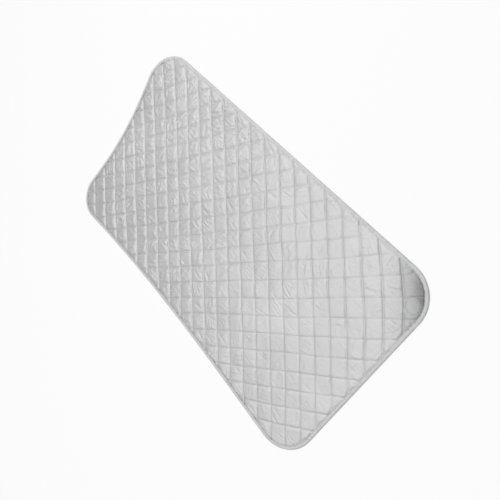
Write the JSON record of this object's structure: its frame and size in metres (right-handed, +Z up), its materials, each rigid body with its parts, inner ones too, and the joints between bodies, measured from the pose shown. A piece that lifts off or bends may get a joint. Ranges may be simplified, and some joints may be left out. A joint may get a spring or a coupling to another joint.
{
  "type": "ironing pad",
  "caption": "Flat rounded rectangular ironing pad: silver-coated top quilted in diamonds over wadding, plain backing, bound edge, and disc magnets in the corners to hold it on a steel top.",
  "frame": {"origin": "middle of the pad's outline, on the surface that it lies on", "axes": "+X along the pad's length, +Y across it towards its straight long side, +Z up out of the quilted silver face"},
  "size_m": [0.85, 0.465, 0.0062],
  "materials": {
    "silver_cloth": "silver heat-reflecting coating on woven cloth, satin sheen",
    "binding_tape": "woven bias tape, pale grey, matt to satin",
    "backing_cloth": "plain woven cotton, matt",
    "wadding": "loose polyester fibre",
    "thread": "spun polyester sewing thread",
    "magnet": "sintered ferrite, dark grey, matt"
  },
  "bodies": {
    "root": {"backing": "backing_cloth", "wadding": "wadding", "top_cover": "silver_cloth", "edge_binding": "binding_tape", "binding_thread": "thread", "quilting_thread_rising": "thread", "quilting_thread_falling": "thread", "magnet_front_left": "magnet", "magnet_front_right": "magnet", "magnet_back_left": "magnet", "magnet_back_right": "magnet"}
  },
  "joints": []
}
